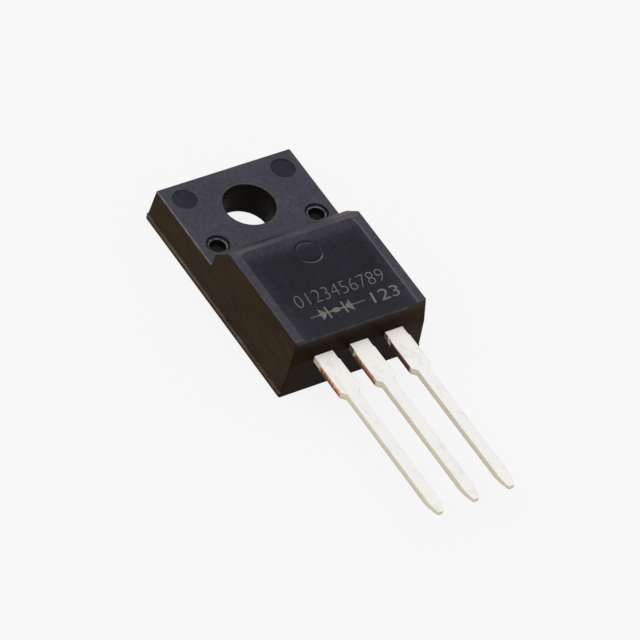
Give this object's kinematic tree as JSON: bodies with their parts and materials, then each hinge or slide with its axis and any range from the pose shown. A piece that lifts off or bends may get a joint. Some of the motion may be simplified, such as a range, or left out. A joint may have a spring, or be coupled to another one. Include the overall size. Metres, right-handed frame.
{
  "type": "schottky diode",
  "caption": "Insulated power rectifier package: flat black moulded body with a thin holed tab, a raised block with a sunk front panel, and flat tinned leads in line.",
  "frame": {"origin": "where the axis of the mounting hole meets the flat back face", "axes": "+Z from the back face to the front that carries the panel, +Y from the block to the tab's free end with the leads along -Y, +X across the leads"},
  "size_m": [0.0102, 0.0292, 0.0046],
  "materials": {
    "moulding": "fine matt epoxy moulding compound, smoother and darker in the sunk panel",
    "tinned_copper": "satin matt tin plate, bare copper on the sheared edges of the wide part",
    "bare_copper": "plain copper strip",
    "silicon": "polished silicon with metallised faces",
    "solder": "dull solder"
  },
  "bodies": {
    "root": {"moulded_body": "moulding", "centre_lead": "tinned_copper", "left_lead": "tinned_copper", "right_lead": "tinned_copper", "left_die": "silicon", "left_clip": "bare_copper", "left_die_solder": "solder", "left_clip_die_solder": "solder", "left_clip_lead_solder": "solder", "right_die": "silicon", "right_clip": "bare_copper", "right_die_solder": "solder", "right_clip_die_solder": "solder", "right_clip_lead_solder": "solder"}
  },
  "joints": []
}
